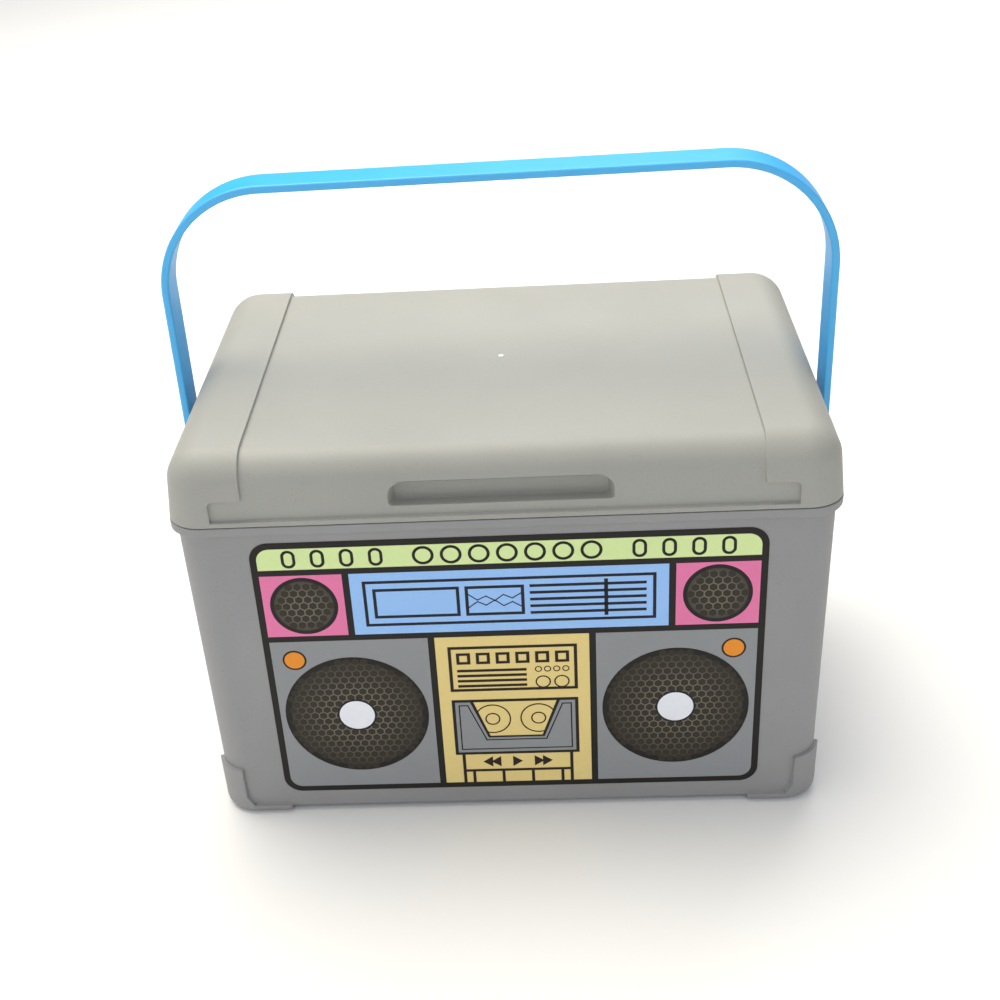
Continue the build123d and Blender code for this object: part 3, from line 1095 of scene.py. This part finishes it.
# %% Cut the tuner
LINE = 1.2
TUNER_MARGIN_X, TUNER_MARGIN_Y = 4.5, 3.5
WINDOW_MARGIN = 3.5
EMPTY_WINDOW, TRACE_WINDOW = 31.5, 21.5
WINDOW_SPACE = 2.0
SCALE_BARS = 5
NEEDLE, NEEDLE_LINE = 127.5, 1.4
NEEDLE_OVERHANG = 1.5
ZIGZAGS = 6
ZIGZAG_HEIGHT = 3.0
TRACE_SPREAD = 1.4
TRACE_LINE = 0.45

tuner_left = TUNER_LEFT + TUNER_MARGIN_X
tuner_top, tuner_low = UPPER_TOP + TUNER_MARGIN_Y, UPPER_LOW - TUNER_MARGIN_Y
window_top, window_low = tuner_top + WINDOW_MARGIN, tuner_low - WINDOW_MARGIN
empty_left = tuner_left + WINDOW_MARGIN
empty_right = empty_left + EMPTY_WINDOW
trace_left = empty_right + WINDOW_SPACE
trace_right = trace_left + TRACE_WINDOW
scale_left, scale_right = trace_right + WINDOW_SPACE, mirrored(empty_left)

open_sheet("tuner_lines")
patch(tuner_left, tuner_top, mirrored(tuner_left), tuner_low, LINE)
patch(empty_left, window_top, empty_right, window_low, LINE)
patch(trace_left, window_top, trace_right, window_low, LINE)
bar_pitch = (window_low - window_top - LINE) / (SCALE_BARS - 1)
for number in range(SCALE_BARS):
    bar_top = window_top + bar_pitch * number
    patch(scale_left, bar_top, scale_right, bar_top + LINE)
needle_left = NEEDLE - NEEDLE_LINE / 2
needle_right = NEEDLE + NEEDLE_LINE / 2
patch(needle_left, window_top - NEEDLE_OVERHANG, needle_right, window_low + NEEDLE_OVERHANG)

trace_step = (TRACE_WINDOW - 2 * LINE) / ZIGZAGS
window_middle = (window_top + window_low) / 2
for way in (-1, 1):
    spots = []
    for number in range(ZIGZAGS + 1):
        swing = ZIGZAG_HEIGHT * (1 - 0.3 * (number % 3)) * (0.5 - number % 2)
        height = window_middle + way * (TRACE_SPREAD + swing)
        spots.append((trace_left + LINE + trace_step * number, height))
    for start, end in zip(spots, spots[1:]):
        stroke(*start, *end, TRACE_LINE)
close_sheet(2, ink_navy)

# %% [markdown]
# The deck's upper part is a frame round six small squares, four bars, a row of small rings and two
# larger ones. Below the cassette are the keys with their three signs, the same on both sides.

# %% Cut the deck's upper part
DECK_MARGIN = 4.5
PANEL_HEIGHT = 21.0
PANEL_LINE = 1.25
PANEL_PAD = 3.0
SQUARES = 6
SQUARE = 5.25
BAR_LENGTH, BAR_PITCH = 26.0, 2.4
SMALL_RING, SMALL_PITCH, SMALL_LINE = 1.35, 3.4, 0.42
LARGE_RING, LARGE_HALF_PITCH, LARGE_LINE = 2.9, 3.5, 0.55

panel_left, panel_right = DECK_LEFT + DECK_MARGIN, mirrored(DECK_LEFT + DECK_MARGIN)
panel_top = LOWER_TOP + DECK_MARGIN
panel_low = panel_top + PANEL_HEIGHT
inner_left, inner_right = panel_left + PANEL_PAD, panel_right - PANEL_PAD
square_top = panel_top + PANEL_PAD
bars_top = square_top + SQUARE + 2 * LINE
rings_right = inner_right - SMALL_RING
rings_middle = rings_right - 1.5 * SMALL_PITCH

open_sheet("deck_lines")
patch(panel_left, panel_top, panel_right, panel_low, PANEL_LINE)
for number in range(SQUARES):
    left = inner_left + (inner_right - inner_left - SQUARE) / (SQUARES - 1) * number
    patch(left, square_top, left + SQUARE, square_top + SQUARE, LINE)
for number in range(4):
    bar_top = bars_top + BAR_PITCH * number
    patch(inner_left, bar_top, inner_left + BAR_LENGTH, bar_top + LINE)
    dot(rings_right - SMALL_PITCH * number, bars_top + LINE / 2, SMALL_RING, SMALL_LINE, 32)
for side in (-1, 1):
    dot(rings_middle + side * LARGE_HALF_PITCH, bars_top + 5.5 * LINE, LARGE_RING, LARGE_LINE)

# %% Cut the keys and their signs into the same sheet
CASSETTE_GAP = 4.0
CASSETTE_HEIGHT = 27.0
KEYS_PAD = 2.5
KEY_ROW = 7.5
KEY_PITCH = 11.5
SIGN_LENGTH, SIGN_HALF = 3.8, 2.6
SIGN_STEP = 3.2
FIRST_SIGN = 79.0

cassette_top = panel_low + CASSETTE_GAP
cassette_low = cassette_top + CASSETTE_HEIGHT
keys_left = panel_left + KEYS_PAD
key_row = cassette_low + KEY_ROW
sign_middle = (cassette_low + key_row) / 2
both_sides(keys_left, cassette_low, keys_left + PANEL_LINE, LOWER_LOW)
patch(keys_left + PANEL_LINE, key_row, mirrored(keys_left + PANEL_LINE), key_row + LINE)
for number in range(4):
    middle = MIDDLE + (number - 1.5) * KEY_PITCH
    patch(middle - LINE / 2, key_row + LINE, middle + LINE / 2, LOWER_LOW)


def arrowhead(tip, way):
    """A solid arrowhead that lies sideways with its tip at a place, pointing right or left."""
    centre = flat(tip - way * SIGN_LENGTH * 2 / 3, sign_middle)
    bpy.ops.mesh.select_all(action="DESELECT")
    bpy.ops.mesh.primitive_circle_add(vertices=3, radius=MM, fill_type="NGON", location=centre)
    bpy.ops.transform.rotate(value=way * math.pi / 2, orient_axis="Z", center_override=centre)
    factors = (SIGN_LENGTH / 1.5, 2 * SIGN_HALF / math.sqrt(3), 1)
    bpy.ops.transform.resize(value=factors, center_override=centre)


for tip in (FIRST_SIGN, FIRST_SIGN + SIGN_STEP):
    arrowhead(tip, -1)
    arrowhead(mirrored(tip), 1)
arrowhead(MIDDLE + SIGN_LENGTH / 2, 1)
close_sheet(2, ink_brown)

# %% [markdown]
# The cassette sits in a dark frame. Its grey body has a thin inner outline, and a slanted window shows
# two reels. The order of the sheets does the work: frame, body, outline, window edge, window, reels.
# Only the left half of the outline is written down, and its right half is the same points mirrored.

# %% Cut the cassette
BODY_INSET = 1.25
OUTLINE_INSET = 1.5
OUTLINE_SHOULDER = 74.5
OUTLINE_FOOT = 81.0
OUTLINE_FOOT_DROP = 17.0
OUTLINE_LINE = 0.5
EDGE_TOP, EDGE_BOTTOM, EDGE_DEPTH = 17.25, 10.75, 18.0
GLASS_TOP, GLASS_BOTTOM, GLASS_DEPTH = 15.75, 10.0, 16.5
REEL_SPACING = 8.75
REEL_RADIUS, HUB_RADIUS, REEL_LINE = 7.0, 2.9, 0.55

body_left, body_top = panel_left + BODY_INSET, cassette_top + BODY_INSET
outline_left, outline_top = body_left + OUTLINE_INSET, body_top + OUTLINE_INSET
outline_low = cassette_low - BODY_INSET - OUTLINE_INSET
glass_top = cassette_top + LINE
reel_middle = glass_top + GLASS_DEPTH / 2


def around(points, line):
    """A closed line through a list of points."""
    for start, end in zip(points, points[1:] + points[:1]):
        stroke(*start, *end, line)


centred_sheet("cassette_frame", panel_left, cassette_top, cassette_low, 2, ink_black)
centred_sheet("cassette_body", body_left, body_top, cassette_low - BODY_INSET, 3, ink_grey)

open_sheet("cassette_outline")
left_half = [
    (outline_left, outline_low),
    (outline_left, outline_top),
    (OUTLINE_SHOULDER, outline_top),
    (OUTLINE_FOOT, outline_top + OUTLINE_FOOT_DROP),
]
right_half = [(mirrored(x), y) for x, y in reversed(left_half)]
around(left_half + right_half, OUTLINE_LINE)
trapezium(EDGE_TOP, EDGE_BOTTOM, cassette_top + LINE / 2, cassette_top + LINE / 2 + EDGE_DEPTH)
close_sheet(4, ink_black)

open_sheet("cassette_window")
trapezium(GLASS_TOP, GLASS_BOTTOM, glass_top, glass_top + GLASS_DEPTH)
close_sheet(5, ink_yellow)

open_sheet("reel_rings")
for way in (-1, 1):
    dot(MIDDLE + way * REEL_SPACING, reel_middle, REEL_RADIUS, REEL_LINE)
    pick("FACE", lambda place, facing: place.x * way > 0)
    slant = Vector((way * GLASS_DEPTH, GLASS_BOTTOM - GLASS_TOP, 0)).normalized()
    corner = flat(MIDDLE + way * GLASS_TOP, glass_top)
    bpy.ops.mesh.bisect(plane_co=corner, plane_no=slant, threshold=1e-6, clear_outer=True)
for way in (-1, 1):
    dot(MIDDLE + way * REEL_SPACING, reel_middle, HUB_RADIUS, REEL_LINE)
close_sheet(6, ink_brown)
print("cassette cut")

# %% [markdown]
# ## The printed speakers
# Each speaker is a dark disc with a honeycomb net. The net is a paler disc with dark six-sided cells
# laid on it, so that its lines are the gaps between the cells. The lines get darker towards the rim.

# %% Make the net's fading ink
NET_PITCH = 3.24
NET_GAP = 0.5


def net_ink(name, x, y, radius):
    """The net's pale lines, which darken towards the rim of a speaker at a place on the label."""
    finish = Finish(name)
    spot = Vector(flat(x, y))
    upright = label_middle.z + spot.y * math.cos(LABEL_LEAN)
    point = finish.node("ShaderNodeSeparateXYZ", {}, {"Vector": finish.place()}, output="X")
    height = finish.node("ShaderNodeSeparateXYZ", {}, {"Vector": finish.place()}, output="Z")
    across = point - (label_middle.x + spot.x)
    above = height - upright
    distance = (across * across + above * above) ** 0.5 / (radius * MM)
    fade = ((distance - 0.45) / 0.55).clipped()
    finish.feed(Base_Color=finish.mix(fade, colour(110, 104, 90), colour(46, 40, 32)))
    return finish.feed(Roughness=0.4)


# %% Cut the speakers
def honeycomb(x, y, reach):
    """Copies one cell all over a disc."""
    spots = []
    rows = int(reach / (NET_PITCH * 0.866)) + 1
    for row in range(-rows, rows + 1):
        for column in range(-rows - 1, rows + 2):
            spot = (x + (column + 0.5 * (row % 2)) * NET_PITCH, y + row * NET_PITCH * 0.866)
            if math.hypot(spot[0] - x, spot[1] - y) < reach:
                spots.append(spot)
    cell = (NET_PITCH - NET_GAP) / math.sqrt(3)
    dot(*spots[0], cell, corners=6)
    for before, after in zip(spots, spots[1:]):
        move = ((after[0] - before[0]) * MM, (before[1] - after[1]) * MM, 0)
        bpy.ops.mesh.duplicate_move(TRANSFORM_OT_translate={"value": move})
    return len(spots)


def speaker(name, x, y, rim, net):
    """One printed speaker: rim disc, net disc and cells."""
    open_sheet(name + "_rim")
    dot(x, y, rim)
    close_sheet(2, ink_black)
    open_sheet(name + "_net")
    dot(x, y, net)
    close_sheet(3, net_ink(name + "_net_ink", x, y, net))
    open_sheet(name + "_cells")
    cells = honeycomb(x, y, min(rim - 1.6, net + 0.9))
    close_sheet(4, ink_cell)
    print(name, "has", cells, "cells")


SMALL_X = BORDER + UPPER_SIDE / 2
SMALL_Y = UPPER_TOP + UPPER_HEIGHT / 2
LARGE_X = BORDER + LOWER_SIDE / 2
LARGE_Y = (LOWER_TOP + LOWER_LOW) / 2
SMALL_SPEAKER = (SMALL_Y, 12.5, 11.0)
LARGE_SPEAKER = (LARGE_Y, 27.5, 25.0)
speaker("small_speaker_left", SMALL_X, *SMALL_SPEAKER)
speaker("small_speaker_right", mirrored(SMALL_X), *SMALL_SPEAKER)
speaker("large_speaker_left", LARGE_X, *LARGE_SPEAKER)
speaker("large_speaker_right", mirrored(LARGE_X), *LARGE_SPEAKER)

# %% Cut the speaker centres and the two lamps
LAMP_INSET = 8.5
LAMP_X, LAMP_Y = BORDER + LAMP_INSET, LOWER_TOP + LAMP_INSET


def pair(name, x, y, radius, level, ink):
    """Two discs on one sheet, at x from the left and from the right."""
    open_sheet(name)
    dot(x, y, radius)
    dot(mirrored(x), y, radius)
    close_sheet(level, ink)


pair("speaker_centre_rims", LARGE_X, LARGE_Y, 7.5, 5, ink_black)
pair("speaker_centres", LARGE_X, LARGE_Y, 6.75, 6, ink_white)
pair("lamp_rims", LAMP_X, LAMP_Y, 4.5, 2, ink_brown)
pair("lamps", LAMP_X, LAMP_Y, 3.75, 3, ink_orange)
print("label finished")

# %% [markdown]
# ## The floor's finish
# The floor is plain and pale, with a slight unevenness so that it isn't a perfect mirror of the light.

# %% Give the floor its finish
paper = Finish("floor_paper")
paper_tone = paper.mix(paper.noise(3.0), colour(246, 246, 246), colour(250, 250, 250))
paper.feed(Base_Color=paper_tone, Roughness=0.8)
floor.data.materials.append(paper.material)
